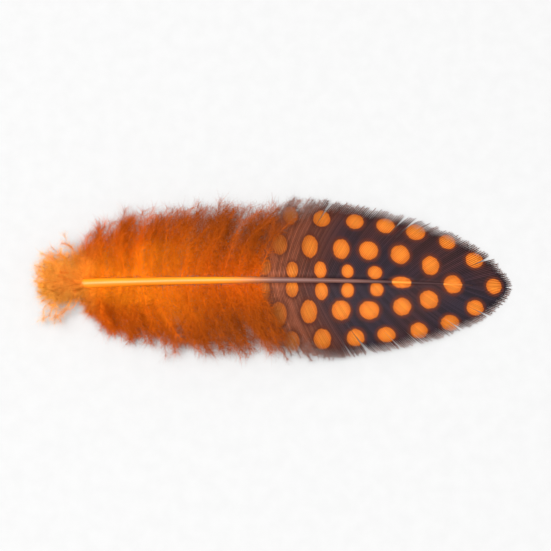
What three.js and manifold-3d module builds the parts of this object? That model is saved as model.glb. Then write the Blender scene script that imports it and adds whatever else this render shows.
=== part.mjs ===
// A guinea fowl body feather, lying flat with its spotted face up. Millimetres, +Z up.
// The quill is at the -X end, the vane's tip at the +X end, and the feather's left side is +Y.
import * as THREE from "three";
import { mergeVertices } from "three/addons/utils/BufferGeometryUtils.js";
import Module from "manifold-3d";

const wasm = await Module();
wasm.setup();

// Driving dimensions. Every X is measured along the feather from the end of the quill.
const LENGTH = 81; // end of the quill to the tip of the vane
const SHAFT_LENGTH = 74; // the shaft fades out this far along
const QUILL_RADIUS = 0.95; // at the quill, from which the shaft tapers
const SHAFT_TAPER = 84; // where that taper would come to a point
const CREST_X = 36; // the highest point of the shaft's arch
const CREST_HEIGHT = 4.8; // the shaft's centre above the surface at the crest
const QUILL_HEIGHT = 2.4; // the same at the end of the quill
const TIP_HEIGHT = 0.1; // the same at the vane's tip, which touches the surface
const SIDE_BOW = 0.5; // how far the shaft bows to its left in plan
const CLEARANCE = 0.2; // left between the shaft and what grows from it
const RIGHT_SHARE = 0.9; // the right side's width as a share of the left's

// The zipped vane
const VANE_START = 37.5; // where its first barb leaves the shaft
const VANE_THICKNESS = 0.44; // beside the shaft
const VANE_EDGE_SHARE = 0.45; // of that thickness, left at the margin
const VANE_CUP = 2.7; // how far the margin droops below the shaft
const VANE_HALF_WIDTH = 14; // where that droop is measured
const BARB_BEND = 0.13; // how far a barb bows off its chord, as a share of it
const VANE_LOCKS = 16; // groups of barbs that cling together along one side
const NOTCH_DEPTH = [0.04, 0.1]; // of a barb's length, at the splits between two groups
const NOTCH_FADE = 0.6; // how much shallower they are at the tip, as a share
const BARB_RIDGE = 0.14; // height of the ridge along each group
const VANE_STEPS_PER_LOCK = 4;
const VANE_STEPS_ACROSS = 4;
// The left margin in plan, from the vane's base round to its tip.
const MARGIN = new THREE.CubicBezierCurve(
  new THREE.Vector2(42, 15.3),
  new THREE.Vector2(57, 14.2),
  new THREE.Vector2(77.5, 10.4),
  new THREE.Vector2(LENGTH, 0),
);

// The loose down
const DOWN_START = 9.5;
const DOWN_END = 35.4;
const DOWN_ROWS = 12; // locks along each side, in each of two layers
// Length of a lock and its angle off the shaft in degrees, each at the quill and at the vane.
const LEFT_DOWN = { reach: [8.5, 14.2], angle: [100, 72] };
const RIGHT_DOWN = { reach: [6.4, 14.2 * RIGHT_SHARE], angle: [80, 72] };
const DOWN_FULL = 0.55; // share of the way along at which the locks are full length
const DOWN_STAGGER = 0.5; // of a row, between the two layers
// How far each layer's tips drop, as a share of the shaft's height, and how it arches on the way.
const DOWN_LAYERS = [
  { drop: 0.1, arch: 2.3, shift: DOWN_STAGGER }, // the upper layer arches above the shaft
  { drop: 0.93, arch: -1.6, shift: 0 }, // the lower one droops to the surface
];
const DOWN_UNEVEN = 0.1; // how much the locks differ in length, as a share of it
const DOWN_STRAY = 5; // degrees by which they stray from their row
const LOCK_WIDTH = 1.75; // half the width of a lock at its fullest
const LOCK_FLATNESS = 0.8;
const LOCK_SIDES = 5;
// A lock's outline: share of its length, share of its half width.
const LOCK_PROFILE = [
  [0, 0],
  [0.05, 0.62],
  [0.3, 0.92],
  [0.58, 1],
  [0.84, 0.6],
  [1, 0],
];

// The tuft of short down round the quill
const TUFT_ROOT = 5.6;
const TUFT_LOCKS = 15;
const TUFT_REACH = [6, 7]; // of the spreading locks and of those along the quill
const TUFT_SPREAD = [30, 60]; // degrees off the quill's own line, for the two in turn
const TUFT_RIGHT = 0.5; // share of that reach and spread that the locks on the right have
const WISP_REACH = 7; // of the one lock that stands out of the tuft's right side
const WISP_SPREAD = 58; // degrees off the quill's own line
const WISP_TURN = 12; // the wisp is the lock that is less than this many degrees off the right
const TUFT_LOCK_WIDTH = 1.3;
const TUFT_FLATNESS = 1;
const TUFT_FIRST_TURN = 6; // degrees round the quill of the first lock
const TUFT_LOWEST_TIP = 0.4; // the tips that would go lower lie along the surface

// The quill's open end
const QUILL_SIDES = 8;
const QUILL_STEPS = 22;
const QUILL_MOUTH = 0.5; // share of the quill's radius that is open
const QUILL_MOUTH_DEPTH = 1.4;
const QUILL_END_SHARE = 0.7; // the quill narrows to this share of its radius at its end
const QUILL_END_LENGTH = 3;

const { lerp, degToRad, smoothstep } = THREE.MathUtils;
const UP = new THREE.Vector3(0, 0, 1);
const GOLDEN_ANGLE = Math.PI * (3 - Math.sqrt(5));

// A number from -1 to 1 that differs from one lock to the next without a pattern.
function unevenness(index) {
  return Math.sin(GOLDEN_ANGLE * index ** 2);
}

function shaftHeight(x) {
  const [span, end] =
    x < CREST_X ? [CREST_X, QUILL_HEIGHT] : [LENGTH - CREST_X, TIP_HEIGHT];
  return CREST_HEIGHT - (CREST_HEIGHT - end) * ((x - CREST_X) / span) ** 2;
}

function shaftSide(x) {
  return SIDE_BOW * Math.sin((Math.PI * x) / LENGTH);
}

function shaftRadius(x) {
  const end = lerp(QUILL_END_SHARE, 1, smoothstep(x, 0, QUILL_END_LENGTH));
  return QUILL_RADIUS * end * (1 - x / SHAFT_TAPER);
}

// The shaft's centre line as a three.js curve, by share of its length.
class ShaftLine extends THREE.Curve {
  getPoint(share, target = new THREE.Vector3()) {
    const x = share * SHAFT_LENGTH;
    return target.set(x, shaftSide(x), shaftHeight(x));
  }
}
const shaftLine = new ShaftLine();

// A geometry turned about Y, with Y from 0 to 1, bent along a curve. flat is its height over its width.
function sweep(turned, path, flat) {
  const places = turned.getAttribute("position");
  for (let i = 0; i < places.count; i++) {
    const along = THREE.MathUtils.clamp(places.getY(i), 0, 1);
    const ahead = path.getTangent(along);
    const across = ahead.clone().cross(UP).normalize();
    const over = across.clone().cross(ahead);
    const place = path
      .getPoint(along)
      .addScaledVector(across, places.getX(i))
      .addScaledVector(over, places.getZ(i) * flat);
    places.setXYZ(i, place.x, place.y, place.z);
  }
  return turned;
}

function solidOf(geometry) {
  geometry.deleteAttribute("normal");
  geometry.deleteAttribute("uv");
  const merged = mergeVertices(geometry);
  return new wasm.Manifold(
    new wasm.Mesh({
      numProp: 3,
      vertProperties: merged.getAttribute("position").array,
      triVerts: new Uint32Array(merged.index.array),
    }),
  );
}

function meshOf(solid, name, material) {
  const { vertProperties, triVerts } = solid.getMesh();
  const geometry = new THREE.BufferGeometry()
    .setAttribute("position", new THREE.BufferAttribute(vertProperties, 3))
    .setIndex(new THREE.BufferAttribute(triVerts, 1));
  geometry.computeVertexNormals();
  const mesh = new THREE.Mesh(geometry, material);
  mesh.name = name;
  return mesh;
}

const keratin = new THREE.MeshStandardMaterial({
  color: 0xf5a02a,
  roughness: 0.35,
  metalness: 0,
});
const darkVane = new THREE.MeshStandardMaterial({
  color: 0x3d3040,
  roughness: 0.6,
  metalness: 0,
});
const orangeDown = new THREE.MeshStandardMaterial({
  color: 0xd9701c,
  roughness: 0.85,
  metalness: 0,
});

// The shaft: quill and rachis in one taper, hollow at its end. extra makes a fatter one to cut with.
function shaftSolid(extra) {
  const profile = [];
  for (let i = 0; i <= QUILL_STEPS; i++) {
    const share = i / QUILL_STEPS;
    const radius = shaftRadius(share * SHAFT_LENGTH) + extra;
    profile.push(new THREE.Vector2(radius, share));
  }
  const mouth = extra ? 0 : QUILL_MOUTH * QUILL_RADIUS * QUILL_END_SHARE;
  const depth = extra ? 0 : QUILL_MOUTH_DEPTH / SHAFT_LENGTH;
  const opening = extra ? [] : [new THREE.Vector2(mouth, depth), new THREE.Vector2(mouth, 0)];
  const turned = [new THREE.Vector2(0, depth), ...opening, ...profile, new THREE.Vector2(0, 1)];
  return solidOf(sweep(new THREE.LatheGeometry(turned, QUILL_SIDES), shaftLine, 1));
}

// How far back from the margin a barb ends, as a share of its length: nothing in the middle of a group.
function notch(u) {
  const phase = u * VANE_LOCKS;
  const split = Math.abs(2 * (phase - Math.floor(phase)) - 1);
  const depth = lerp(...NOTCH_DEPTH, unevenness(Math.round(phase)) ** 2);
  return depth * split ** 3 * (1 - NOTCH_FADE * u);
}

// A point of the vane in plan: u runs along the shaft and v out along a barb.
function vanePlan(u, v, side) {
  const rootX = lerp(VANE_START, SHAFT_LENGTH, u);
  const root = new THREE.Vector2(rootX, shaftRadius(rootX) + CLEARANCE);
  const end = MARGIN.getPoint(u);
  end.y = Math.max(end.y * (side > 0 ? 1 : RIGHT_SHARE), CLEARANCE);
  const chord = end.clone().sub(root).multiplyScalar(1 - notch(u));
  const bow = new THREE.Vector2(-chord.y, chord.x).multiplyScalar(BARB_BEND * (1 - u));
  const bend = root.clone().addScaledVector(chord, 0.5).add(bow);
  const barb = new THREE.QuadraticBezierCurve(root, bend, root.clone().add(chord));
  return barb.getPoint(v);
}

function vaneSolid(side) {
  const box = new THREE.BoxGeometry(1, 1, 1, VANE_LOCKS * VANE_STEPS_PER_LOCK, VANE_STEPS_ACROSS, 1);
  const places = box.getAttribute("position");
  for (let i = 0; i < places.count; i++) {
    const u = places.getX(i) + 0.5;
    const v = places.getY(i) + 0.5;
    const plan = vanePlan(u, v, side);
    const cup = VANE_CUP * (plan.y / VANE_HALF_WIDTH) ** 2;
    const ridge = BARB_RIDGE * Math.cos(2 * Math.PI * u * VANE_LOCKS) * v * (1 - u);
    const thickness = VANE_THICKNESS * lerp(1, VANE_EDGE_SHARE, v);
    const z = shaftHeight(plan.x) - cup + ridge + side * places.getZ(i) * thickness;
    places.setXYZ(i, plan.x, shaftSide(plan.x) + side * plan.y, z);
  }
  return solidOf(box);
}

function lockSolid(path, width, flat) {
  const profile = LOCK_PROFILE.map(([along, wide]) => new THREE.Vector2(wide * width, along));
  return solidOf(sweep(new THREE.LatheGeometry(profile, LOCK_SIDES), path, flat));
}

// One lock of down: it leaves the shaft, arches, and bends towards the vane.
function downLock(side, share, layer, index) {
  const form = side > 0 ? LEFT_DOWN : RIGHT_DOWN;
  const x = lerp(DOWN_START, DOWN_END, share);
  const stray = DOWN_STRAY * unevenness(index) * Math.sin(Math.PI * share);
  const angle = degToRad(lerp(...form.angle, share) + stray);
  const full = Math.min(1, share / DOWN_FULL);
  const reach = lerp(...form.reach, full) * (1 + DOWN_UNEVEN * unevenness(index + DOWN_ROWS));
  const root = new THREE.Vector3(
    x,
    shaftSide(x) + side * (shaftRadius(x) + CLEARANCE),
    shaftHeight(x),
  );
  const out = new THREE.Vector3(Math.cos(angle), side * Math.sin(angle), 0);
  const tip = root.clone().addScaledVector(out, reach);
  tip.z = root.z * (1 - layer.drop);
  const bend = root.clone().lerp(tip, 0.5);
  bend.x -= BARB_BEND * reach;
  bend.z += layer.arch;
  const path = new THREE.QuadraticBezierCurve3(root, bend, tip);
  return lockSolid(path, LOCK_WIDTH, LOCK_FLATNESS);
}

const floor = solidOf(
  new THREE.BoxGeometry(4 * LENGTH, 4 * LENGTH, LENGTH).translate(0, 0, -LENGTH / 2),
);
const shaftRoom = shaftSolid(CLEARANCE);

// Locks become one body, pressed flat where they meet the surface and clear of the shaft.
function plume(locks) {
  return locks.reduce((all, one) => all.add(one)).subtract(floor).subtract(shaftRoom);
}

function downSolid(side) {
  const locks = [];
  for (const layer of DOWN_LAYERS) {
    for (let row = 0; row < DOWN_ROWS; row++) {
      const share = (row + layer.shift) / (DOWN_ROWS - 1 + DOWN_STAGGER);
      locks.push(downLock(side, share, layer, locks.length));
    }
  }
  return plume(locks);
}

// The tuft's locks leave the quill all round and sweep back over its end, less so on the right.
function tuftSolid() {
  const locks = [];
  const x = TUFT_ROOT;
  const middle = new THREE.Vector3(x, shaftSide(x), shaftHeight(x));
  for (let i = 0; i < TUFT_LOCKS; i++) {
    const turn = degToRad(TUFT_FIRST_TURN + (360 * i) / TUFT_LOCKS);
    const isWisp = Math.abs(turn - Math.PI) < degToRad(WISP_TURN);
    const lean = lerp(TUFT_RIGHT, 1, Math.min(1, 1 + Math.cos(turn)));
    const spread = degToRad(isWisp ? WISP_SPREAD : TUFT_SPREAD[i % 2] * lean);
    const reach = isWisp ? WISP_REACH : TUFT_REACH[1 - (i % 2)] * lean;
    const round = new THREE.Vector3(0, Math.cos(turn), Math.sin(turn));
    const root = middle.clone().addScaledVector(round, shaftRadius(x) / 2);
    const tip = root.clone().addScaledVector(round, Math.sin(spread) * reach);
    tip.x -= Math.cos(spread) * reach;
    tip.z = Math.max(tip.z, TUFT_LOWEST_TIP);
    const bend = root.clone().lerp(tip, 0.5).addScaledVector(round, BARB_BEND * reach);
    const path = new THREE.QuadraticBezierCurve3(root, bend, tip);
    locks.push(lockSolid(path, TUFT_LOCK_WIDTH, TUFT_FLATNESS));
  }
  return plume(locks);
}

const feather = new THREE.Group();
feather.add(meshOf(shaftSolid(0), "shaft", keratin));
feather.add(meshOf(vaneSolid(1), "left_vane", darkVane));
feather.add(meshOf(vaneSolid(-1), "right_vane", darkVane));
feather.add(meshOf(downSolid(1), "left_down", orangeDown));
feather.add(meshOf(downSolid(-1), "right_down", orangeDown));
feather.add(meshOf(tuftSolid(), "base_tuft", orangeDown));

// The part's origin is the middle of its footprint, on the surface that it lies on.
const bounds = new THREE.Box3().setFromObject(feather);
const middle = bounds.getCenter(new THREE.Vector3());
feather.position.set(-middle.x, -middle.y, -bounds.min.z);

export default feather;
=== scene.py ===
"""A dyed guinea fowl feather, dressed with its barbs and down around the packed part."""

import math
from typing import NamedTuple

import bmesh
import bpy
import numpy as np
from bpy.props import FloatProperty, FloatVectorProperty, IntProperty, PointerProperty
from mathutils import Matrix, Vector


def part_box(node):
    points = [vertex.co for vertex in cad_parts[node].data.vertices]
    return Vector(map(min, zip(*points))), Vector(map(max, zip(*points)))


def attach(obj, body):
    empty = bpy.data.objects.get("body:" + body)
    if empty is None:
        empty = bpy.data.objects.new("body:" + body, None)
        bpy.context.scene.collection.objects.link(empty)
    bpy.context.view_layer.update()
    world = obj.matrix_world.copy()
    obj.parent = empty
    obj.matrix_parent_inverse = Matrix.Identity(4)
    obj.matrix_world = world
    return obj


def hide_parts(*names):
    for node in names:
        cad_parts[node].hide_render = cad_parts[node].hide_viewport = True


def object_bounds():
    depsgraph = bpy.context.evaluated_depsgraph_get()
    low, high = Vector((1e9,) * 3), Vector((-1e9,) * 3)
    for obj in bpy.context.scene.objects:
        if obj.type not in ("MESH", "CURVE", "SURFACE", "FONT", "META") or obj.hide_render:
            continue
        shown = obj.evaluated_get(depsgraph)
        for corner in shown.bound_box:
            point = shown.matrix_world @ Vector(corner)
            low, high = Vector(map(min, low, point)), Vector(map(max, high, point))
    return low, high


bl_info = {
    "name": "Guinea Fowl Feather",
    "version": (1, 0, 0),
    "blender": (4, 5, 0),
    "location": "3D View > Sidebar > Feather",
    "description": "Barbs, down, shaft and spots of one feather, around its packed solids",
    "category": "Object",
}

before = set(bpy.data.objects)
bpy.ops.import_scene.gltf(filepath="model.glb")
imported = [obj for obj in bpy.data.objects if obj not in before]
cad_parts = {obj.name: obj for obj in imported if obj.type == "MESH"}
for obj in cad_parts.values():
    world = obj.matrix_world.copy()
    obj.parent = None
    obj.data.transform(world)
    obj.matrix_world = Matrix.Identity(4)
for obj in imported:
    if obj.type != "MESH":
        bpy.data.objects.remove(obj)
CAD_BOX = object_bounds()

MM = 0.001
BODY = "root"
LEFT, RIGHT = 1, -1
RIM_DEPTH = 0.15 * MM  # of the points that are the quill's rim, at the packed shaft's end


def quill_end():
    """Where the quill ends, in plan, from the packed shaft."""
    low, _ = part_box("shaft")
    rim = [v.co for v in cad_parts["shaft"].data.vertices if v.co.x < low.x + RIM_DEPTH]
    middle = sum(rim, Vector()) / len(rim)
    return np.array([middle.x, middle.y, 0])


QUILL_END = quill_end()


# Sizes and colours


def a_number(name, description, default, **kind):
    return FloatProperty(name=name, description=description, default=default, **kind)


def a_length(name, description, default):
    """A length, its default in millimetres."""
    return a_number(name, description, default * MM, unit="LENGTH", precision=6)


def a_share(name, description, default):
    return a_number(name, description, default, subtype="FACTOR")


def an_angle(name, description, default):
    """An angle, its default in degrees."""
    return a_number(name, description, math.radians(default), subtype="ANGLE")


def a_count(name, description, default):
    return IntProperty(name=name, description=description, default=default)


def a_colour(name, description, red, green, blue):
    shade = (red, green, blue, 1)
    return FloatVectorProperty(
        name=name, description=description, default=shade, size=4, subtype="COLOR", min=0, max=1
    )


class FeatherForm(bpy.types.PropertyGroup):
    """Sizes that every piece of the feather shares"""

    length: a_length("Length", "End of the quill to the tip of the vane", 81)
    crest_x: a_length("Crest", "How far along the shaft is highest", 36)
    crest_height: a_length("Crest height", "The shaft's middle above the surface at the crest", 4.8)
    quill_height: a_length("Quill height", "The same at the end of the quill", 2.4)
    tip_height: a_length("Tip height", "The same at the tip of the vane", 0.1)
    side_bow: a_length("Side bow", "How far the shaft bows to its left", 0.5)
    right_share: a_share("Right share", "Width of the right side as a share of the left", 0.9)
    barb_bend: a_share("Barb bend", "How far a barb bows off its chord, as a share of it", 0.13)
    barb_depth: a_share("Barb depth", "Share of the shaft's radius at which barbs grow", 0.8)
    floor_gap: a_length("Floor gap", "Below this height barbs flatten along the surface", 0.3)
    barb_floor: a_length("Barb floor", "The least height of a barb's middle", 0.1)
    barbule_floor: a_length("Barbule floor", "The least height of a barbule's tip", 0.02)
    seed: a_count("Seed", "Picks how the barbs stray", 7)


class ShaftForm(bpy.types.PropertyGroup):
    """Sizes of the quill and rachis"""

    length: a_length("Length", "How far along the shaft fades out", 74)
    radius: a_length("Quill radius", "Radius at the quill, from which the shaft tapers", 0.95)
    taper: a_length("Taper length", "Where that taper would come to a point", 84)
    end_share: a_share("End share", "The quill narrows to this share of its radius at its end", 0.7)
    end_length: a_length("End length", "Over which the quill's end narrows", 3)
    mouth_share: a_share("Mouth share", "Share of the quill's end that is open", 0.5)
    mouth_depth: a_length("Mouth depth", "Depth of the quill's open end", 1.4)
    groove: a_share("Groove", "Depth of the rachis's groove, as a share of its radius", 0.4)
    groove_start: a_length("Groove start", "How far along the groove begins", 8)
    groove_full: a_length("Groove full", "How far along the groove has its full depth", 16)
    stations: a_count("Stations", "Rings along the shaft", 72)
    sides: a_count("Sides", "Corners of each ring", 20)


class VaneForm(bpy.types.PropertyGroup):
    """Sizes of the zipped, spotted vane"""

    start: a_length("Start", "Where its first barb leaves the shaft", 37.5)
    cup: a_length("Cup", "How far the margin droops below the shaft", 2.7)
    half_width: a_length("Half width", "How far off the shaft that droop is measured", 14)
    barbs: a_count("Barbs", "Barbs on each side", 120)
    stations: a_count("Stations", "Rings along each barb", 13)
    ridge: a_length("Ridge", "Height of a barb's back above its edges", 0.07)
    open_base: a_share("Open base", "Share of the vane, from its base, with open barbs", 0.2)
    fringe: a_count("Fringe", "Loose barbules on each barb", 110)
    fringe_length: a_length("Fringe length", "Length of a loose barbule", 0.75)
    haze: a_share("Haze", "Share of the vane, from its base, that is loose and hazy", 0.3)
    haze_barbules: a_count("Haze barbules", "Loose barbules on each hazy barb", 420)
    haze_length: a_length("Haze length", "Length of the longest of those barbules", 1.5)
    barbule_radius: a_length("Barbule radius", "Radius of a loose barbule at its root", 0.014)
    spot_radius: a_length("Spot radius", "Radius of the outer and middle spots", 1.54)


class DownForm(bpy.types.PropertyGroup):
    """Sizes of the loose down on both sides of the shaft"""

    start: a_length("Start", "Where its first barb leaves the shaft", 7.4)
    end: a_length("End", "Where its last barb leaves the shaft", 37.5)
    left_reach: a_length("Left reach", "Length of a barb near the quill, on the left", 9.6)
    right_reach: a_length("Right reach", "The same on the right", 6.4)
    full_reach: a_length("Full reach", "Length of the longest barbs", 13.4)
    first_share: a_share("First share", "Length of the first barb, as a share of its reach", 0.55)
    left_angle: an_angle("Left angle", "Between the shaft and a barb near the quill, on the left", 93)
    right_angle: an_angle("Right angle", "The same on the right", 78)
    vane_angle: an_angle("Angle at the vane", "Between the shaft and a barb beside the vane", 65)
    barbs: a_count("Barbs", "Barbs on each side", 190)
    locks: a_count("Locks", "Locks that they gather into", 30)
    gather: a_share("Gather", "How far the tips of a lock draw together", 0.13)
    stray: a_length("Stray", "How far a barb waves off its line", 0.7)
    barbules: a_count("Barbules", "Barbules on each barb of down or tuft", 242)
    barbule_length: a_length("Barbule length", "Length of a barbule", 2.5)
    barbule_radius: a_length("Barbule radius", "Radius of a barbule at its root", 0.018)


class TuftForm(bpy.types.PropertyGroup):
    """Sizes of the tuft of short down round the quill"""

    root: a_length("Root", "How far along the quill the tuft grows", 5.6)
    root_span: a_length("Root span", "How far to either side of that its barbs grow", 2.6)
    reach: a_length("Reach", "Length of the longest barbs", 7.4)
    right_share: a_share("Right share", "Reach and spread on the right, as a share of the left's", 0.5)
    height_share: a_share("Height share", "Height of the tuft as a share of its width", 0.68)
    wisp_width: an_angle("Wisp width", "Angle round the quill of the wisp on the right", 14)
    wisp_spread: an_angle("Wisp spread", "Between the quill and that wisp", 58)
    barbs: a_count("Barbs", "Barbs in the tuft", 170)
    locks: a_count("Locks", "Locks that they gather into", 24)
    gather: a_share("Gather", "How far the tips of a lock draw together", 0.1)
    stray: a_length("Stray", "How far a barb waves off its line", 0.6)
    barbule_length: a_length("Barbule length", "Length of a barbule", 1.9)
    barbule_radius: a_length("Barbule radius", "Radius of a barbule at its root", 0.0115)


class FeatherColours(bpy.types.PropertyGroup):
    """Dyed colours of the feather"""

    bright: a_colour("Bright down", "Down beside the shaft", 1.0, 0.275, 0.008)
    burnt: a_colour("Burnt down", "Middle of the down", 0.74, 0.128, 0.003)
    pale: a_colour("Pale down", "The tuft round the quill", 1.0, 0.42, 0.06)
    brown: a_colour("Brown down", "Outer down and down beside the vane", 0.44, 0.083, 0.005)
    dark: a_colour("Vane", "The vane between its spots", 0.034, 0.0115, 0.012)
    # A blue sheen painted into the vane's colour, laid on in patches
    painted_sheen: a_colour("Vane sheen", "The vane's bluer patches", 0.017, 0.0105, 0.0175)
    mauve: a_colour("Vane base", "The vane's loose base and fringe", 0.245, 0.066, 0.026)
    spot: a_colour("Spot", "The spots of the vane", 0.59, 0.17, 0.015)
    spot_deep: a_colour("Spot surround", "The spots towards their rims", 0.5, 0.115, 0.008)
    spot_edge: a_colour("Spot rim", "The thin rim of a spot", 0.09, 0.018, 0.007)
    rachis: a_colour("Rachis", "The shaft between the vanes", 0.13, 0.054, 0.042)
    keratin: a_colour("Shaft", "The shaft along the down", 0.7, 0.2, 0.004)
    horn: a_colour("Quill", "The clear end of the quill", 0.62, 0.24, 0.05)


class StageForm(bpy.types.PropertyGroup):
    """The floor, the light and the camera"""

    elevation: an_angle("Elevation", "Of the camera above the floor", 80)
    lens: a_number("Lens", "Focal length", 90, unit="CAMERA")
    filled: a_share("Filled", "Share of the picture's width that the feather fills", 0.87)
    floor: a_length("Floor", "Side of the floor", 1600)
    paper: a_colour("Paper", "The floor", 0.42, 0.42, 0.42)
    paper_grain: a_colour("Paper grain", "The floor's darker grain", 0.405, 0.405, 0.405)
    key: a_number("Key light", "Power of the large soft light", 62, unit="POWER")
    key_size: a_length("Key size", "Side of that light", 1050)
    key_place: FloatVectorProperty(
        name="Key place",
        description="Where that light hangs",
        default=(-0.35, -0.1, 1.78),
        subtype="TRANSLATION",
        unit="LENGTH",
    )
    fill: a_number("Surround", "Strength of the even light all round", 0.64)


class Feather(bpy.types.PropertyGroup):
    """All that a user may change"""

    form: PointerProperty(type=FeatherForm)
    shaft: PointerProperty(type=ShaftForm)
    vane: PointerProperty(type=VaneForm)
    down: PointerProperty(type=DownForm)
    tuft: PointerProperty(type=TuftForm)
    colours: PointerProperty(type=FeatherColours)
    stage: PointerProperty(type=StageForm)


def feather():
    return bpy.context.scene.feather


# What each piece, and each side's spots, adds to the seed
SEED_STEPS = {"left_vane": 1, "right_vane": 2, "left_down": 11, "right_down": 9, "base_tuft": 20}
SEED_STEPS |= {"left_spots": 31, "right_spots": 29}


def draws(name):
    return np.random.default_rng(feather().form.seed + SEED_STEPS[name])


# Where things lie

TINY = 1e-9  # keeps a division from being by 0


def lerp(a, b, t):
    return a + (b - a) * t


def smooth(low, high, value):
    t = np.clip((value - low) / (high - low), 0, 1)
    return t * t * (3 - 2 * t)


def unit(vectors):
    return vectors / np.maximum(np.linalg.norm(vectors, axis=-1, keepdims=True), TINY)


def shaft_height(x):
    form = feather().form
    before = x < form.crest_x
    span = np.where(before, form.crest_x, form.length - form.crest_x)
    end = np.where(before, form.quill_height, form.tip_height)
    return form.crest_height - (form.crest_height - end) * ((x - form.crest_x) / span) ** 2


def shaft_side(x):
    form = feather().form
    return form.side_bow * np.sin(np.pi * x / form.length)


def shaft_middle(x):
    return np.stack([x, shaft_side(x), shaft_height(x)], -1)


def shaft_radius(x):
    form = feather().shaft
    end = lerp(form.end_share, 1, smooth(0, form.end_length, x))
    return form.radius * end * np.clip(1 - x / form.taper, 0, 1)


def placed(points):
    """Points measured from the end of the quill, in the part's frame."""
    return points + QUILL_END


def above_floor(z, least):
    """Heights eased towards the least, below the height at which barbs flatten."""
    gap = feather().form.floor_gap
    room = gap - least
    return np.where(z < gap, least + room * np.exp(np.minimum(z - gap, 0) / room), z)


def bezier(ends, t):
    """Points of a curve with three or four ends."""
    t = np.asarray(t)[..., None]
    points = [np.asarray(e, float) for e in ends]
    while len(points) > 1:
        points = [lerp(a, b, t) for a, b in zip(points, points[1:])]
    return points[0]


# The left margin of the vane in plan, from its base round to its tip
MARGIN = np.array([[42, 15.3], [57, 14.2], [77.5, 10.4], [81, 0]]) * MM
TIP_BARBS = 0.85  # past this share of the vane the barbs' roots close in on the shaft's line


def vane_plan(u, v, side):
    """Places in plan on the vane: u along the shaft and v out along a barb."""
    form, vane = feather().form, feather().vane
    u = np.clip(u, 0, 1)
    x = lerp(vane.start, feather().shaft.length, u)
    root = np.stack([x, form.barb_depth * shaft_radius(x) * smooth(1, TIP_BARBS, u)], -1)
    end = bezier(MARGIN, u)
    end[..., 1] *= 1 if side == LEFT else form.right_share
    chord = end - root
    bow = np.stack([-chord[..., 1], chord[..., 0]], -1) * form.barb_bend * (1 - u)[..., None]
    bend = root + chord / 2 + bow
    return bezier((root, bend, end), v)


def vane_place(u, v, side, lift=0):
    form = feather().vane
    plan = vane_plan(u, v, side)
    x, y = plan[..., 0], plan[..., 1]
    z = shaft_height(x) - form.cup * (y / form.half_width) ** 2
    z = above_floor(z, feather().form.barb_floor) + lift
    return np.stack([x, shaft_side(x) + side * y, z], -1)


# Meshes from arrays

TRIANGLE = np.arange(3) * 2 * np.pi / 3  # the turns of a three-sided ring's corners
ODD_WAY = np.array([0.31, 0.52, 0.8])  # a direction that no barbule takes
# The corners of a spike's faces, and where those corners lie in its cell of the bake map
SPIKE_FACES = np.array([[0, 2, 1], [0, 1, 3], [1, 2, 3], [2, 0, 3]])
SPIKE_CELL = np.array([[0.1, 0.1], [0.9, 0.1], [0.5, 0.35], [0.5, 0.9]])
SPIKE_POINTS = 4
# How much of its strip of the bake map a tube's sides fill, across and along
STRIP_ACROSS, STRIP_ALONG = (0.08, 0.92), (0.04, 0.96)
# Where along it the tube's end faces lie, and half their size across and along it
STRIP_ENDS, END_ACROSS, END_ALONG = (0.06, 0.94), 0.3, 0.015


class BakeLayout(NamedTuple):
    """Where the barbs, as tubes, and barbules, as spikes, lie on a piece's bake map."""

    corners: tuple  # of a barb's rings, across its strip
    rows: int  # of strips
    barbs: tuple  # their band of the map
    barbules: tuple  # the band of the barbules' cells


DOWN_BAKE = BakeLayout((0, 1, 0.5), 1, (0.84, 1), (0, 0.82))
VANE_BAKE = BakeLayout((0, 0.5, 1, 0.5), 2, (0.33, 1), (0, 0.31))


def tubes(rings):
    """Sides and ends of closed tubes through rings of points, (tube, station, corner, 3)."""
    index = np.arange(rings[..., 0].size).reshape(rings.shape[:3])
    here, ahead = index[:, :-1], index[:, 1:]
    sides = np.stack([here, np.roll(here, -1, 2), np.roll(ahead, -1, 2), ahead], -1)
    return sides.reshape(-1, 4), np.concatenate([index[:, 0, ::-1], index[:, -1]])


def spikes(roots, tips, radius):
    """Points of three-sided spikes, (spike, point, 3)."""
    ways = unit(tips - roots)
    aside = unit(np.cross(ways, ODD_WAY))
    over = np.cross(ways, aside)
    base = [roots + radius * (aside * np.cos(t) + over * np.sin(t)) for t in TRIANGLE]
    return np.stack([*base, tips], 1)


def strip_map(rings, bake):
    """Places on the bake map for the sides and ends of tubes, a strip for each."""
    count, stations, corners, _ = rings.shape
    columns = math.ceil(count / bake.rows)
    tube = np.arange(count)[:, None, None]

    def place(u, v):
        u = (tube % columns + u) / columns
        v = lerp(*bake.barbs, (tube // columns + v) / bake.rows)
        return np.stack(np.broadcast_arrays(u, v), -1)

    here = lerp(*STRIP_ACROSS, np.array(bake.corners))
    there = np.roll(here, -1)
    along = lerp(*STRIP_ALONG, np.linspace(0, 1, stations))[:, None]
    low, high = along[:-1], along[1:]
    sides = [place(here, low), place(there, low), place(there, high), place(here, high)]
    turn = 2 * np.pi * np.arange(corners) / corners
    u, v = 0.5 + END_ACROSS * np.cos(turn), END_ALONG * np.sin(turn)
    ends = [place(u, share + v) for share in STRIP_ENDS]
    return np.stack(sides, -2).reshape(-1, 2), np.concatenate(ends).reshape(-1, 2)


def cell_map(count, bake):
    """Places on the bake map for the faces of spikes, a cell for each."""
    low, high = bake.barbules
    columns = math.ceil(math.sqrt(count / (high - low)))
    rows = math.ceil(count / columns)
    index = np.arange(count)
    cell = np.stack([index % columns, index // columns], -1)[:, None]
    places = (cell + SPIKE_CELL) / (columns, rows)
    places[..., 1] = lerp(low, high, places[..., 1])
    return places[:, SPIKE_FACES].reshape(-1, 2)


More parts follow.
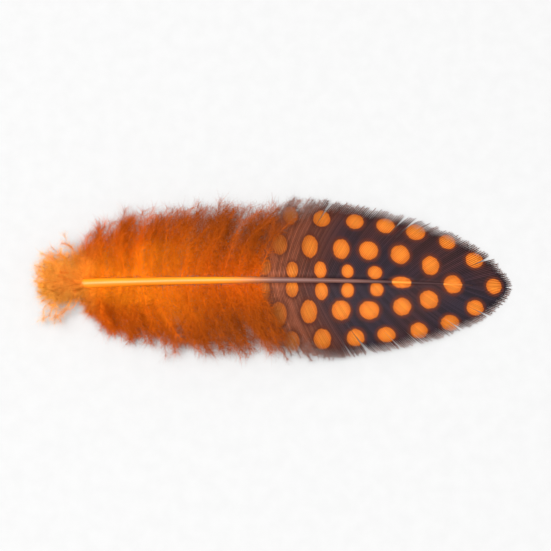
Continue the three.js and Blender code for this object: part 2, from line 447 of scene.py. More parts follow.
def number_on(mesh, name, *groups):
    """A number for each point, from values and how many points each of them covers."""
    values = np.concatenate([np.repeat(np.ravel(v), points) for v, points in groups])
    layer = mesh.attributes.new(name, "FLOAT", "POINT")
    layer.data.foreach_set("value", values.astype(np.float32))


def new_mesh(name, points, faces):
    """A mesh from its points and groups of faces that have as many corners."""
    mesh = bpy.data.meshes.new(name)
    corners = np.concatenate([f.ravel() for f in faces])
    counts = np.concatenate([np.full(len(f), f.shape[1]) for f in faces])
    mesh.vertices.add(len(points))
    mesh.vertices.foreach_set("co", points.astype(np.float32).ravel())
    mesh.loops.add(len(corners))
    mesh.loops.foreach_set("vertex_index", corners.astype(np.int32))
    mesh.polygons.add(len(counts))
    starts = np.cumsum(counts) - counts
    mesh.polygons.foreach_set("loop_start", starts.astype(np.int32))
    mesh.update(calc_edges=True)
    if mesh.validate():
        raise RuntimeError(f"{name} has faces that Blender refuses")
    return mesh


def barbed_piece(node, rings, hairs, bake, material):
    """Barbs through rings and barbules as spikes, in a node's place: mesh, points and faces."""
    points = np.concatenate([rings.reshape(-1, 3), hairs.reshape(-1, 3)])
    hair_index = np.arange(rings[..., 0].size, len(points)).reshape(-1, SPIKE_POINTS)
    faces = [*tubes(rings), hair_index[:, SPIKE_FACES].reshape(-1, 3)]
    points = placed(points)
    name = f"{node}_barbs"
    mesh = new_mesh(name, points, faces)
    places = np.concatenate([*strip_map(rings, bake), cell_map(len(hairs), bake)])
    layer = mesh.uv_layers.new(name="OFBake")
    layer.uv.foreach_set("vector", places.astype(np.float32).ravel())
    mesh.materials.append(material)
    join_to_part(bpy.data.objects.new(name, mesh), node)
    return mesh, points, faces


def join_to_part(piece, node):
    bpy.context.scene.collection.objects.link(piece)
    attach(piece, BODY)
    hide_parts(node)


# Materials


class Nodes:
    """The nodes of one new material."""

    def __init__(self, name):
        self.material = bpy.data.materials.new(name)
        self.material.use_nodes = True
        self.tree = self.material.node_tree
        self.shader = self.tree.nodes["Principled BSDF"]

    def add(self, kind, inputs=None, **settings):
        """A new node, with numbers or other nodes' sockets on its inputs."""
        node = self.tree.nodes.new(kind)
        for key, value in settings.items():
            setattr(node, key, value)
        self.feed(node, inputs or {})
        return node

    def feed(self, node, inputs):
        for key, source in inputs.items():
            if isinstance(source, bpy.types.NodeSocket):
                self.tree.links.new(source, node.inputs[key])
            else:
                node.inputs[key].default_value = source

    def number(self, name):
        return self.add("ShaderNodeAttribute", attribute_name=name).outputs["Fac"]

    def size_of(self, name):
        """The length of a vector that the mesh holds."""
        vector = self.add("ShaderNodeAttribute", attribute_name=name).outputs["Vector"]
        return self.add("ShaderNodeVectorMath", {0: vector}, operation="LENGTH").outputs["Value"]

    def maths(self, operation, a, b=0.0, clamp=False):
        node = self.add("ShaderNodeMath", {0: a, 1: b}, operation=operation, use_clamp=clamp)
        return node.outputs[0]

    def between(self, value, low, high, to_low=0.0, to_high=1.0):
        """A value eased from one number to another as it goes from low to high."""
        inputs = {"Value": value, "From Min": low, "From Max": high}
        inputs |= {"To Min": to_low, "To Max": to_high}
        node = self.add("ShaderNodeMapRange", inputs, interpolation_type="SMOOTHSTEP")
        return node.outputs["Result"]

    def mix(self, share, a, b):
        inputs = {"Factor": share, 6: a, 7: b}
        return self.add("ShaderNodeMix", inputs, data_type="RGBA").outputs[2]

    def lit(self, shade, value):
        """A colour made brighter or darker."""
        inputs = {"Value": value, "Color": shade}
        return self.add("ShaderNodeHueSaturation", inputs).outputs["Color"]

    def noise(self, scale, detail, stretch=(1, 1, 1)):
        place = self.add("ShaderNodeTexCoord").outputs["Object"]
        mapping = self.add("ShaderNodeMapping", {"Vector": place, "Scale": stretch})
        inputs = {"Vector": mapping.outputs["Vector"], "Scale": scale, "Detail": detail}
        return self.add("ShaderNodeTexNoise", inputs).outputs["Fac"]

    def finish(self, shade, roughness, specular, **inputs):
        inputs |= {"Base Color": shade, "Roughness": roughness, "Specular IOR Level": specular}
        self.feed(self.shader, inputs)
        return self.material


# Materials read numbers that the meshes hold: along runs from a barb's or the shaft's root to its
# tip, zone from the base of the down or vane to its end, below 0 on the tuft, and tint differs by barb.


def down_material():
    """Bright beside the shaft, burnt further out, and brown at the tips and beside the vane."""
    tints = feather().colours
    n = Nodes("dyed_down")
    along, zone, tint = map(n.number, ("along", "zone", "tint"))
    blotch = n.between(n.noise(scale=150, detail=3), 0.35, 0.7)
    outer = n.between(n.maths("ADD", along, n.maths("MULTIPLY", blotch, 0.3)), 0.12, 0.85)
    outer = n.maths("MAXIMUM", outer, n.between(zone, 0.2, 0.8))
    near = n.mix(n.between(zone, 0.12, -0.1), tints.bright, tints.pale)
    far = n.mix(n.between(zone, 0.1, -0.1), tints.burnt, tints.pale)
    shade = n.mix(outer, near, far)
    by_vane = n.maths("MULTIPLY", n.between(zone, 0.3, 1.05), n.between(along, 0.05, 0.6))
    past_tuft = n.between(zone, -0.05, 0.35, to_high=0.62)
    by_tip = n.maths("MULTIPLY", n.between(along, 0.4, 1.0), past_tuft)
    shade = n.mix(n.maths("ADD", by_vane, by_tip, clamp=True), shade, tints.brown)
    shade = n.lit(shade, n.between(tint, 0, 1, 0.72, 1.2))
    return n.finish(shade, roughness=0.8, specular=0.06)


def vane_material():
    """Dark with patches of painted blue sheen, mauve where it is loose, and its spots with thin rims.
    """
    tints = feather().colours
    n = Nodes("spotted_vane")
    along, zone, tint = map(n.number, ("along", "zone", "tint"))
    # Noise lays patches of painted blue sheen over the vane's dark colour
    base = n.mix(n.between(n.noise(scale=90, detail=3), 0.4, 0.65), tints.dark, tints.painted_sheen)
    fringe = n.maths("MULTIPLY", n.between(along, 0.86, 1.02), 0.7)
    loose = n.maths("MAXIMUM", n.between(zone, 0.32, 0.0), fringe)
    base = n.lit(n.mix(loose, base, tints.mauve), n.between(tint, 0, 1, 0.7, 1.35))
    # Radii from the middle of the nearest spot, a little ragged from barb to barb
    ragged = n.maths("MULTIPLY", n.maths("SUBTRACT", tint, 0.5), 0.1)
    away = n.maths("ADD", n.size_of("spot"), ragged)
    fade = n.between(zone, 0.0, 0.2, to_low=0.45)
    rim = n.maths("MULTIPLY", n.between(away, 1.55, 1.0), fade)
    base = n.mix(rim, base, tints.spot_edge)
    dye = n.mix(n.between(away, 0.35, 1.0), tints.spot, tints.spot_deep)
    dye = n.lit(dye, n.between(tint, 0, 1, 0.86, 1.08))
    inside = n.maths("MULTIPLY", n.between(away, 1.07, 0.93), fade)
    return n.finish(n.mix(inside, base, dye), roughness=0.55, specular=0.22)


def shaft_material():
    """Clear horn at the quill's end, dyed along the down, and dark in the vane but for its spots."""
    tints, form = feather().colours, feather().shaft
    n = Nodes("dyed_keratin")
    along = n.number("along")
    shade = n.mix(n.between(along, 0.02, 0.1), tints.horn, tints.keratin)
    shade = n.mix(n.between(along, 0.4, 0.56), shade, tints.rachis)
    shade = n.mix(n.between(along, 0.7, 0.82), shade, tints.dark)
    for row in SPOT_ROWS[1:]:  # the outer row's end lies past the shaft
        past = n.maths("SUBTRACT", along, row.point * MM / form.length)
        shade = n.mix(n.between(n.maths("ABSOLUTE", past), 0.024, 0.02), shade, tints.spot)
    streak = n.noise(scale=900, detail=3, stretch=(0.04, 1, 1))
    shade = n.lit(shade, n.between(streak, 0.3, 0.7, 0.75, 1.15))
    bump = n.add("ShaderNodeBump", {"Strength": 0.3, "Distance": 0.05 * MM, "Height": streak})
    return n.finish(shade, roughness=0.42, specular=0.35, Normal=bump.outputs["Normal"])


def floor_material():
    form = feather().stage
    n = Nodes("pale_paper")
    grain = n.between(n.noise(scale=400, detail=4), 0.2, 0.8)
    return n.finish(n.mix(grain, form.paper_grain, form.paper), roughness=0.9, specular=0.1)


# The spots


class SpotRow(NamedTuple):
    """A row of spots that runs up one side of the shaft and down the other, in millimetres."""

    point: float  # its end spot on the shaft's line, from the end of the quill
    stand: float  # how far its two arms stand off the shaft
    turn: float  # how soon they turn along it
    spread: float  # how they go on spreading, as a slope
    step: float  # from one spot to the next
    size: tuple  # of a spot along and across the shaft, as shares of the spot radius


# From the margin inwards
SPOT_ROWS = (
    SpotRow(77.7, 8.2, 5.0, 0.1, 5.5, (1.0, 0.86)),
    SpotRow(70.5, 4.8, 4.3, 0.05, 5.2, (1.0, 1.0)),
    SpotRow(61.6, 1.75, 2.3, 0.01, 4.7, (0.74, 0.74)),
)
SHAFT_SPOT = (1.5, 0.86)  # how the inner row's end spot is drawn out along the shaft
BASE_SPOTS = (56, 44)  # spots change between these places, in millimetres, towards the base
BASE_SPOT = (-0.14, 0.3)  # what they gain by it along and across the shaft, as shares
ROW_STEPS = 400  # for measuring along a row
ROW_PAST = 2  # millimetres by which a row runs past the vane's base
SPOT_STRAY = 0.14  # millimetres by which spots stray from their row
SPOT_UNEVEN = 0.05  # share by which they differ in size


def spot_places(side):
    """Middles and radii of one side's spots, in plan from the end of the quill."""
    form, vane = feather().form, feather().vane
    rng = draws("left_spots" if side == LEFT else "right_spots")
    places, radii = [], []
    for row in SPOT_ROWS:
        back = np.linspace(0, row.point - vane.start / MM + ROW_PAST, ROW_STEPS)
        off = row.stand * (1 - np.exp(-back / row.turn)) + row.spread * back
        arc = np.insert(np.cumsum(np.hypot(np.diff(back), np.diff(off))), 0, 0)
        stops = np.arange(0, arc[-1], row.step)
        x = row.point - np.interp(stops, arc, back)
        y = np.interp(stops, arc, off) * (1 if side == LEFT else form.right_share)
        stray = rng.normal(0, SPOT_STRAY, (len(stops), 2))
        stray[0] = 0
        places.append((np.stack([x, y], -1) + stray) * MM)
        drawn = smooth(*BASE_SPOTS, x)[:, None] * BASE_SPOT + 1
        uneven = rng.normal(1.0, SPOT_UNEVEN, (len(stops), 2))
        radii.append(vane.spot_radius * drawn * row.size * uneven)
        radii[-1][0] = vane.spot_radius * min(row.size)
    radii[-1][0] *= SHAFT_SPOT
    return np.concatenate(places), np.concatenate(radii)


def mark_spots(mesh, points, faces, side):
    """Where each corner lies from its face's nearest spot, in radii of that spot."""
    spots, radii = spot_places(side)
    plan = points[:, :2] - QUILL_END[:2]
    plan[:, 1] = side * (plan[:, 1] - shaft_side(plan[:, 0]))
    offsets = []
    for group in faces:
        corners = plan[group]
        gap = np.linalg.norm((corners.mean(1)[:, None] - spots) / radii, axis=-1)
        near = gap.argmin(1)
        offsets.append(((corners - spots[near][:, None]) / radii[near][:, None]).reshape(-1, 2))
    values = np.pad(np.concatenate(offsets), ((0, 0), (0, 1)))
    layer = mesh.attributes.new("spot", "FLOAT_VECTOR", "CORNER")
    layer.data.foreach_set("vector", values.astype(np.float32).ravel())


# Barbs and barbules

BARBULE_STRAY = 18  # degrees by which a barbule strays from its lean
BARBULE_FLATNESS = 0.55  # how far they stand over and under a barb, as a share of to its sides


def barb_frames(paths):
    """Unit vectors along, across and over each station of each path."""
    along = unit(np.gradient(paths, axis=1))
    across = unit(np.cross(along, (0, 0, 1)))
    return along, across, np.cross(across, along)


def on_paths(values, where):
    """Values by station, read at shares of the way along each path."""
    last = values.shape[1] - 1
    at = np.clip(where, 0, 1) * last
    low = np.minimum(at.astype(int), last - 1)
    part = (at - low)[..., None]
    rows = np.arange(values.shape[0])[:, None]
    return lerp(values[rows, low], values[rows, low + 1], part)


def barbules(rng, paths, length, radius, lean, where):
    """Spikes round each path, more to its sides, at shares of the way along it."""
    roots = on_paths(paths, where)
    along, across, over = (on_paths(way, where) for way in barb_frames(paths))
    turn = rng.uniform(0, 2 * np.pi, where.shape)[..., None]
    tilt = np.radians(lean + rng.normal(0, BARBULE_STRAY, where.shape))[..., None]
    aside = across * np.cos(turn) + BARBULE_FLATNESS * over * np.sin(turn)
    ways = along * np.cos(tilt) + aside * np.sin(tilt)
    tips = roots + ways * length[..., None]
    tips[..., 2] = above_floor(tips[..., 2], feather().form.barbule_floor)
    radius = np.broadcast_to(radius, where.shape).reshape(-1, 1)
    return spikes(roots.reshape(-1, 3), tips.reshape(-1, 3), radius)


# The down and the tuft

PATH_STATIONS = 10
STEM_RADII = (0.04 * MM, 0.01 * MM)  # of a barb of down, at its root and its tip
FIRST_BARBULE = 0.015  # share of the way along a barb at which its barbules begin
ROOT_FULLNESS = (-0.4, 0.2)  # shares of the way between which they grow to full length
TIP_FULLNESS, TIP_LENGTH = (0.6, 1), 0.9  # and between which they shorten to a share of it
BARBULE_LENGTHS = (0.45, 1.25)  # shares of that length between which they differ
BARBULE_LEANS = (62, 48)  # degrees between a barb and its barbules, at its root and its tip
BARBULE_TAPER = 0.85  # share of the barbules' radius that those at the tip have
BARB_TINT, TINT_SPREAD, BARBULE_TINT_SPREAD = 0.5, 0.22, 0.18
LOCK_POWER = 1.4  # how late along their length the barbs of a lock draw together
WAVES = (0.6, 1.5)  # along a barb
# Barbs of down have a layer, from 0, which droops to the surface, to 1, which arches upwards
LAYER_TIPS = (0.07, 0.9)  # height of the tip as a share of the root's
LAYER_LIFTS = (0.3 * MM, 0)  # added to that height
LAYER_ARCHES = (-1.2 * MM, 2.5 * MM)  # how far the barb arches on the way
DOWN_KEY = (30, 3)  # how far a barb's share of the way and its layer count towards its lock
DOWN_FULL = 0.55  # share of the way to the vane where barbs have their full reach
DOWN_FIRST = 0.14  # share of the way over which the first barbs lengthen
DOWN_LENGTHS = (0.8, 1.05)  # shares of their reach between which barbs differ
DOWN_STRAY = 9  # degrees by which they stray from their angle
TUFT_LENGTHS = (0.5, 1.06)  # shares of the tuft's reach between which its barbs differ
TUFT_SPREADS = (12, 84)  # degrees between the quill and the tuft's barbs
TOP_SPREAD = 0.5  # share of that on top of the quill
TUFT_END = 0.2 * MM  # how close to the end of the quill the tips come
TUFT_LOWEST = 0.4 * MM  # the least height of a tip
TUFT_KEY = (8, 8, 3)  # how far the turn and the spread of its barbs count towards their lock
TUFT_ZONES = (-0.25, 0.02)  # of its barbs, from the one nearest the quill's end to the last


def gathered(rng, paths, key, form):
    """Paths drawn towards the middle of their lock, more and more along them."""
    middles = rng.choice(len(paths), form.locks, replace=False)
    gap = np.linalg.norm(key[:, None] - key[middles], axis=-1)
    near = gap.argmin(1)
    share = np.linspace(0, 1, paths.shape[1]) ** LOCK_POWER
    return lerp(paths, paths[middles][near], form.gather * share[:, None])


def strayed(rng, paths, size):
    """Paths with a soft wave of their own, growing towards their ends."""
    count, stations, _ = paths.shape
    share = np.linspace(0, 1, stations)[:, None]
    phase = rng.uniform(0, 2 * np.pi, (count, 1, 3))
    waves = rng.uniform(*WAVES, (count, 1, 3))
    return paths + size * share * np.sin(phase + 2 * np.pi * waves * share)


def barb_paths(rng, root, bend, tip, key, form):
    """Curved paths of barbs, in locks."""
    ends = (root[:, None], bend[:, None], tip[:, None])
    paths = bezier(ends, np.linspace(0, 1, PATH_STATIONS))
    return strayed(rng, gathered(rng, paths, key, form), form.stray)


def down_paths(rng, side):
    """Paths of one side's barbs of down, and how far along the down each one is."""
    form, down = feather().form, feather().down
    count = down.barbs
    share = (np.arange(count) + rng.uniform(0, 1, count)) / count
    layer = rng.uniform(0, 1, count)
    if side == LEFT:
        first_angle, first_reach, full_reach = down.left_angle, down.left_reach, down.full_reach
    else:
        first_angle, first_reach = down.right_angle, down.right_reach
        full_reach = down.full_reach * form.right_share
    x = lerp(down.start, down.end, share)
    reach = lerp(first_reach, full_reach, np.minimum(1, share / DOWN_FULL))
    reach *= rng.uniform(*DOWN_LENGTHS, count)
    reach *= lerp(down.first_share, 1, smooth(0, DOWN_FIRST, share))
    angle = lerp(first_angle, down.vane_angle, share)
    angle += np.radians(rng.normal(0, DOWN_STRAY, count))
    root = shaft_middle(x)
    root[:, 1] += side * form.barb_depth * shaft_radius(x)
    out = np.stack([np.cos(angle), side * np.sin(angle), np.zeros(count)], -1)
    tip = root + out * reach[:, None]
    tip[:, 2] = root[:, 2] * lerp(*LAYER_TIPS, layer) + lerp(*LAYER_LIFTS, layer)
    bend = (root + tip) / 2
    bend[:, 0] -= form.barb_bend * reach
    bend[:, 2] += lerp(*LAYER_ARCHES, layer)
    key = np.stack([share, layer], -1) * DOWN_KEY
    return barb_paths(rng, root, bend, tip, key, down), share


def tuft_paths(rng):
    """Paths of the tuft's barbs, and the zone of each one."""
    form, tuft = feather().form, feather().tuft
    count = tuft.barbs
    turn = 2 * np.pi * (np.arange(count) + rng.uniform(0, 1, count)) / count
    back = rng.uniform(-1, 1, count)
    x = tuft.root + tuft.root_span * back
    spread = np.radians(rng.uniform(*TUFT_SPREADS, count))
    spread *= lerp(1, TOP_SPREAD, np.clip(np.sin(turn), 0, 1) ** 2)
    reach = tuft.reach * rng.uniform(*TUFT_LENGTHS, count)
    wisp = np.abs(turn - np.pi) < tuft.wisp_width / 2
    right = np.where(wisp, 1, lerp(tuft.right_share, 1, np.minimum(1, 1 + np.cos(turn))))
    spread = np.where(wisp, tuft.wisp_spread, spread) * right
    reach *= right
    round_way = np.stack([np.zeros(count), np.cos(turn), np.sin(turn) * tuft.height_share], -1)
    root = shaft_middle(x) + round_way * form.barb_depth * shaft_radius(x)[:, None]
    tip = root + round_way * (np.sin(spread) * reach)[:, None]
    tip[:, 0] = np.maximum(tip[:, 0] - np.cos(spread) * reach, TUFT_END)
    tip[:, 2] = np.maximum(tip[:, 2], TUFT_LOWEST)
    bend = (root + tip) / 2 + round_way * (form.barb_bend * reach)[:, None]
    key = np.stack([np.cos(turn), np.sin(turn), spread], -1) * TUFT_KEY
    return barb_paths(rng, root, bend, tip, key, tuft), lerp(*TUFT_ZONES, (back + 1) / 2)


def plume_piece(node, rng, paths, zone, form, material):
    """Barbs of down along paths, each with its barbules."""
    count, stations, _ = paths.shape
    share = np.linspace(0, 1, stations)
    paths[..., 2] = above_floor(paths[..., 2], feather().form.barb_floor)
    _, across, over = barb_frames(paths)
    thick = lerp(*STEM_RADII, share)[:, None]
    rings = [paths + thick * (across * np.cos(t) - over * np.sin(t)) for t in TRIANGLE]
    each = feather().down.barbules
    where = np.sort(rng.uniform(FIRST_BARBULE, 1, (count, each)), 1)
    fullness = smooth(*ROOT_FULLNESS, where)
    fullness = fullness * lerp(1, TIP_LENGTH, smooth(*TIP_FULLNESS, where))
    length = form.barbule_length * fullness * rng.uniform(*BARBULE_LENGTHS, where.shape)
    radius = form.barbule_radius * lerp(1, BARBULE_TAPER, where)
    lean = lerp(*BARBULE_LEANS, where**2)
    hairs = barbules(rng, paths, length, radius, lean, where)
    mesh, *_ = barbed_piece(node, np.stack(rings, 2), hairs, DOWN_BAKE, material)
    tint = np.clip(rng.normal(BARB_TINT, TINT_SPREAD, count), 0, 1)
    hair_tint = np.clip(tint[:, None] + rng.normal(0, BARBULE_TINT_SPREAD, where.shape), 0, 1)
    stem = stations * len(TRIANGLE)
    number_on(mesh, "along", (np.tile(share, count), len(TRIANGLE)), (where, SPIKE_POINTS))
    number_on(mesh, "zone", (zone, stem), (zone, each * SPIKE_POINTS))
    number_on(mesh, "tint", (tint, stem), (hair_tint, SPIKE_POINTS))


# The vanes

BARB_RING = ((-1, 0), (0, 1), (1, 0), (0, -1))  # a barb's edges, back and belly, out and up
EDGE_STEPS = 400  # for sharing out the vane among its barbs
EDGE_OUT, EDGE_STEP = 0.7, 0.01  # how far out along the barbs their widths are measured
LOCK_CHANCE = 0.08  # that a barb parts from the one before it
LOCK_PULL, LOCK_PULL_POWER = 0.06, 6  # how far and how late along it a barb draws to its lock
LOCK_SWAY, LOCK_SWAY_POWER = 0.003, 5  # how far and how late its lock sways along the shaft
SHORT_BARBS = (0.955, 0.74)  # share of full length of the shortest barbs, zipped and open
LONG_BARBS = 1.01  # of the longest, before the margin trims them
NARROWING = (0.82, 0.2)  # where along them barbs begin to narrow, zipped and open
BARB_WIDTHS = (1.1, 0.2)  # of a barb at its root and its tip, as shares of its room
BARB_LIFT = 0.025 * MM  # by which barbs stand above or below others at the margin
RIDGE_END = 0.4  # share of the ridge that is left at a barb's tip
FRINGE_PLACES = (5, 1.1)  # beta distribution of the loose barbules along a zipped barb
FRINGE_FIRST, HAZE_FIRST = 0.1, 0.06  # where they begin on an open barb and on a hazy one
LOOSE_LENGTHS = (0.5, 1.2)  # shares of their length between which they differ
FRINGE_GROWTH, FRINGE_LEAST = (0.4, 0.95), 0.15  # on zipped barbs they grow from this share
FRINGE_END, FRINGE_END_SHARE = (0.85, 1), 0.5  # at the very tip they shorten to this share
HAZE_LEAST = 0.3  # share of their length that the haze ends with
FRINGE_LEAN, HAZE_LEAN = 32, 50  # degrees between a barb and its loose barbules


def barb_edges(count, side):
    """Where the vane's barbs part, so that they are about as wide as each other."""
    fine, out = np.linspace(0, 1, EDGE_STEPS), np.full(EDGE_STEPS, EDGE_OUT)
    apart = np.gradient(vane_plan(fine, out, side), axis=0)
    along = unit(vane_plan(fine, out + EDGE_STEP, side) - vane_plan(fine, out - EDGE_STEP, side))
    width = np.abs(apart[:, 0] * along[:, 1] - apart[:, 1] * along[:, 0])
    steps = np.insert(np.cumsum((width[1:] + width[:-1]) / 2), 0, 0)
    return np.interp(np.linspace(0, steps[-1], count + 1), steps, fine)


def vane_barbs(rng, edges, side):
    """The vane's barbs: rings round them, the lines along them, and how far out these are."""
    vane = feather().vane
    middle, half = (edges[1:] + edges[:-1]) / 2, np.diff(edges) / 2
    count = len(middle)
    parted = rng.uniform(0, 1, count) < LOCK_CHANCE
    _, lock = np.unique(np.cumsum(parted), return_inverse=True)
    lock_middle = np.bincount(lock, middle) / np.bincount(lock)
    sway = rng.normal(0, LOCK_SWAY, len(lock_middle))
    v = np.linspace(0, 1, vane.stations)
    opened = smooth(vane.open_base, 0, middle)[:, None]
    longest = lerp(lerp(*SHORT_BARBS, opened), LONG_BARBS, rng.uniform(0, 1, (count, 1)))
    along = np.minimum(v * longest, 1)
    u = lerp(middle[:, None], lock_middle[lock][:, None], LOCK_PULL * v**LOCK_PULL_POWER)
    u = u + sway[lock][:, None] * v**LOCK_SWAY_POWER
    wide = half[:, None] * lerp(*BARB_WIDTHS, smooth(lerp(*NARROWING, opened), 1, v))
    lift = rng.normal(0, 1, (count, 1)) * BARB_LIFT * v
    ridge = vane.ridge * lerp(1, RIDGE_END, v)
    rings = [
        vane_place(u + side * wide * out, along, side, lift + ridge * up) for out, up in BARB_RING
    ]
    return np.stack(rings, 2), vane_place(u, along, side, lift), along


def fringe_barbules(rng, paths, middle):
    """Where along each barb its loose barbules grow, and their points."""
    vane = feather().vane
    where = np.sort(rng.beta(*FRINGE_PLACES, (len(middle), vane.fringe)), 1)
    opened = middle < vane.open_base
    where[opened] = np.sort(rng.uniform(FRINGE_FIRST, 1, (opened.sum(), vane.fringe)), 1)
    length = vane.fringe_length * rng.uniform(*LOOSE_LENGTHS, where.shape)
    length *= lerp(FRINGE_LEAST, 1, smooth(*FRINGE_GROWTH, where + opened[:, None]))
    length *= lerp(1, FRINGE_END_SHARE, smooth(*FRINGE_END, where))
    return where, barbules(rng, paths, length, vane.barbule_radius, FRINGE_LEAN, where)


def haze_barbules(rng, paths, middle):
    """The same on the hazy barbs at the vane's base."""
    vane = feather().vane
    where = np.sort(rng.uniform(HAZE_FIRST, 1, (len(middle), vane.haze_barbules)), 1)
    fade = (1 - middle / vane.haze)[:, None]
    length = vane.haze_length * lerp(HAZE_LEAST, 1, fade)
    length = length * rng.uniform(*LOOSE_LENGTHS, where.shape)
    return where, barbules(rng, paths, length, vane.barbule_radius, HAZE_LEAN, where)


def vane_piece(node, side, material):
    """One vane, out of its barbs, their fringe and the haze at its base."""
    rng, vane = draws(node), feather().vane
    edges = barb_edges(vane.barbs, side)
    middle = (edges[1:] + edges[:-1]) / 2
    rings, paths, along = vane_barbs(rng, edges, side)
    fringe, fringe_hairs = fringe_barbules(rng, paths, middle)
    hazy = middle < vane.haze
    haze, haze_hairs = haze_barbules(rng, paths[hazy], middle[hazy])
    hairs = np.concatenate([fringe_hairs, haze_hairs])
    mesh, points, faces = barbed_piece(node, rings, hairs, VANE_BAKE, material)
    corners = len(BARB_RING)
    number_on(mesh, "along", (along, corners), (fringe, SPIKE_POINTS), (haze, SPIKE_POINTS))
    for label, values in (("zone", middle), ("tint", rng.uniform(0, 1, vane.barbs))):
        on_fringe = (values, vane.fringe * SPIKE_POINTS)
        on_haze = (values[hazy], vane.haze_barbules * SPIKE_POINTS)
        number_on(mesh, label, (values, vane.stations * corners), on_fringe, on_haze)
    mark_spots(mesh, points, faces, side)


# The operators


class FEATHER_OT_shaft(bpy.types.Operator):
    """Makes the quill and rachis, with the quill's open end and the groove underneath"""

    bl_idname = "feather.shaft"
    bl_label = "Shaft"

    def execute(self, context):
        form = context.scene.feather.shaft
        mouth = form.radius * form.end_share * form.mouth_share
        rings = [(form.mouth_depth, mouth), (0, mouth)]
        rings += [(x, float(shaft_radius(x))) for x in np.linspace(0, form.length, form.stations)]
        bm = bmesh.new()
        bmesh.ops.create_circle(bm, segments=form.sides, radius=1, cap_ends=True)
        ring, edges = bm.verts[:], bm.edges[:]
        last = Matrix.Identity(4)
        lowest = []
        for index, (x, radius) in enumerate(rings):
            if index > 0:
                made = bmesh.ops.extrude_edge_only(bm, edges=edges)["geom"]
                ring = [g for g in made if isinstance(g, bmesh.types.BMVert)]
                edges = [g for g in made if isinstance(g, bmesh.types.BMEdge)]
            place = self.station(x, radius)
            bmesh.ops.transform(bm, matrix=place @ last.inverted(), verts=ring)
            last = place
            lift = form.groove * radius * float(smooth(form.groove_start, form.groove_full, x))
            lowest.append((min(ring, key=lambda v: v.co.z), lift))
        for vert, lift in lowest:
            bmesh.ops.translate(bm, vec=(0, 0, lift), verts=[vert])
        bmesh.ops.contextual_create(bm, geom=edges)
        bmesh.ops.recalc_face_normals(bm, faces=bm.faces)
        mesh = bpy.data.meshes.new("shaft_keratin")
        bm.to_mesh(mesh)
        bm.free()
        mesh.shade_smooth()
        mesh.materials.append(shaft_material())
        join_to_part(bpy.data.objects.new("quill_and_rachis", mesh), "shaft")
        places = np.array([v.co.x for v in mesh.vertices])
        number_on(mesh, "along", ((places - QUILL_END[0]) / form.length, 1))
        return {"FINISHED"}

    @staticmethod
    def station(x, radius):
        """Puts a ring of radius 1 across the shaft's line."""
        step = 0.05 * MM
        ahead = Vector(shaft_middle(x + step) - shaft_middle(x)).normalized()
        across = ahead.cross(Vector((0, 0, 1))).normalized()
        over = across.cross(ahead)
        turn = Matrix((across, over, ahead)).transposed().to_4x4()
        return Matrix.Translation(placed(shaft_middle(x))) @ turn @ Matrix.Scale(radius, 4)


class FEATHER_OT_vanes(bpy.types.Operator):
    """Makes the two spotted vanes out of their barbs"""

    bl_idname = "feather.vanes"
    bl_label = "Vanes"

    def execute(self, context):
        material = vane_material()
        vane_piece("left_vane", LEFT, material)
        vane_piece("right_vane", RIGHT, material)
        return {"FINISHED"}


class FEATHER_OT_down(bpy.types.Operator):
    """Makes the down on both sides of the shaft and the tuft round the quill"""

    bl_idname = "feather.down"
    bl_label = "Down"

    def execute(self, context):
        material, forms = down_material(), context.scene.feather
        for node, side in (("left_down", LEFT), ("right_down", RIGHT)):
            rng = draws(node)
            plume_piece(node, rng, *down_paths(rng, side), forms.down, material)
        rng = draws("base_tuft")
        plume_piece("base_tuft", rng, *tuft_paths(rng), forms.tuft, material)
        return {"FINISHED"}


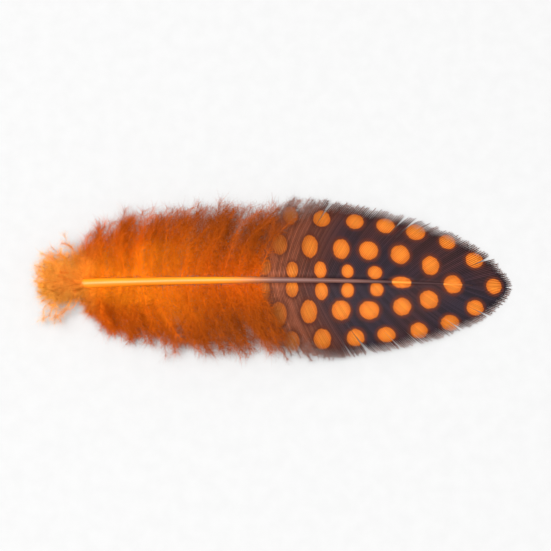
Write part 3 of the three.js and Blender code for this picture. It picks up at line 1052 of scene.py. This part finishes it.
class FEATHER_OT_stage(bpy.types.Operator):
    """Makes the pale floor, the soft light and the camera above the feather"""

    bl_idname = "feather.stage"
    bl_label = "Stage"

    def execute(self, context):
        scene, form = context.scene, context.scene.feather.stage
        self.floor(scene, form)
        self.light(scene, form)
        self.camera(scene, form)
        scene.view_settings.view_transform = "Standard"
        return {"FINISHED"}

    @staticmethod
    def floor(scene, form):
        bm = bmesh.new()
        bmesh.ops.create_grid(bm, x_segments=4, y_segments=4, size=form.floor / 2)
        mesh = bpy.data.meshes.new("floor")
        bm.to_mesh(mesh)
        bm.free()
        mesh.materials.append(floor_material())
        floor = bpy.data.objects.new("floor", mesh)
        scene.collection.objects.link(floor)

    @staticmethod
    def light(scene, form):
        lamp = bpy.data.lights.new("key", "AREA")
        lamp.size = form.key_size
        lamp.energy = form.key
        key = bpy.data.objects.new("key", lamp)
        place = Vector(form.key_place)
        key.location = place
        key.rotation_euler = (-place).to_track_quat("-Z", "Y").to_euler()
        scene.collection.objects.link(key)
        world = bpy.data.worlds.new("surround")
        world.use_nodes = True
        background = world.node_tree.nodes["Background"]
        background.inputs["Color"].default_value = (1, 1, 1, 1)
        background.inputs["Strength"].default_value = form.fill
        scene.world = world

    @staticmethod
    def camera(scene, form):
        low, high = CAD_BOX
        lens = bpy.data.cameras.new("camera")
        lens.lens = form.lens
        lens.clip_start = 10 * MM
        camera = bpy.data.objects.new("camera", lens)
        scene.collection.objects.link(camera)
        back = Vector((0, -math.cos(form.elevation), math.sin(form.elevation)))
        distance = (high.x - low.x) / form.filled * form.lens / lens.sensor_width
        camera.location = (low + high) / 2 + back * distance
        camera.rotation_euler = (-back).to_track_quat("-Z", "Y").to_euler()
        scene.camera = camera


class FEATHER_PT_panel(bpy.types.Panel):
    """Lists the feather's pieces and sizes"""

    bl_idname = "FEATHER_PT_panel"
    bl_label = "Guinea Fowl Feather"
    bl_space_type = "VIEW_3D"
    bl_region_type = "UI"
    bl_category = "Feather"

    def draw(self, context):
        for kind in OPERATORS:
            self.layout.operator(kind.bl_idname)
        for name in Feather.__annotations__:
            group = getattr(context.scene.feather, name)
            box = self.layout.box()
            box.label(text=group.__doc__)
            for key in group.__annotations__:
                box.prop(group, key)


FORMS = (FeatherForm, ShaftForm, VaneForm, DownForm, TuftForm, FeatherColours, StageForm)
OPERATORS = (FEATHER_OT_shaft, FEATHER_OT_vanes, FEATHER_OT_down, FEATHER_OT_stage)
CLASSES = (*FORMS, Feather, *OPERATORS, FEATHER_PT_panel)


def register():
    for kind in CLASSES:
        bpy.utils.register_class(kind)
    bpy.types.Scene.feather = PointerProperty(type=Feather)


def unregister():
    del bpy.types.Scene.feather
    for kind in reversed(CLASSES):
        bpy.utils.unregister_class(kind)


def main():
    register()
    bpy.ops.feather.shaft()
    bpy.ops.feather.vanes()
    bpy.ops.feather.down()
    bpy.ops.feather.stage()


if __name__ == "__main__":
    main()
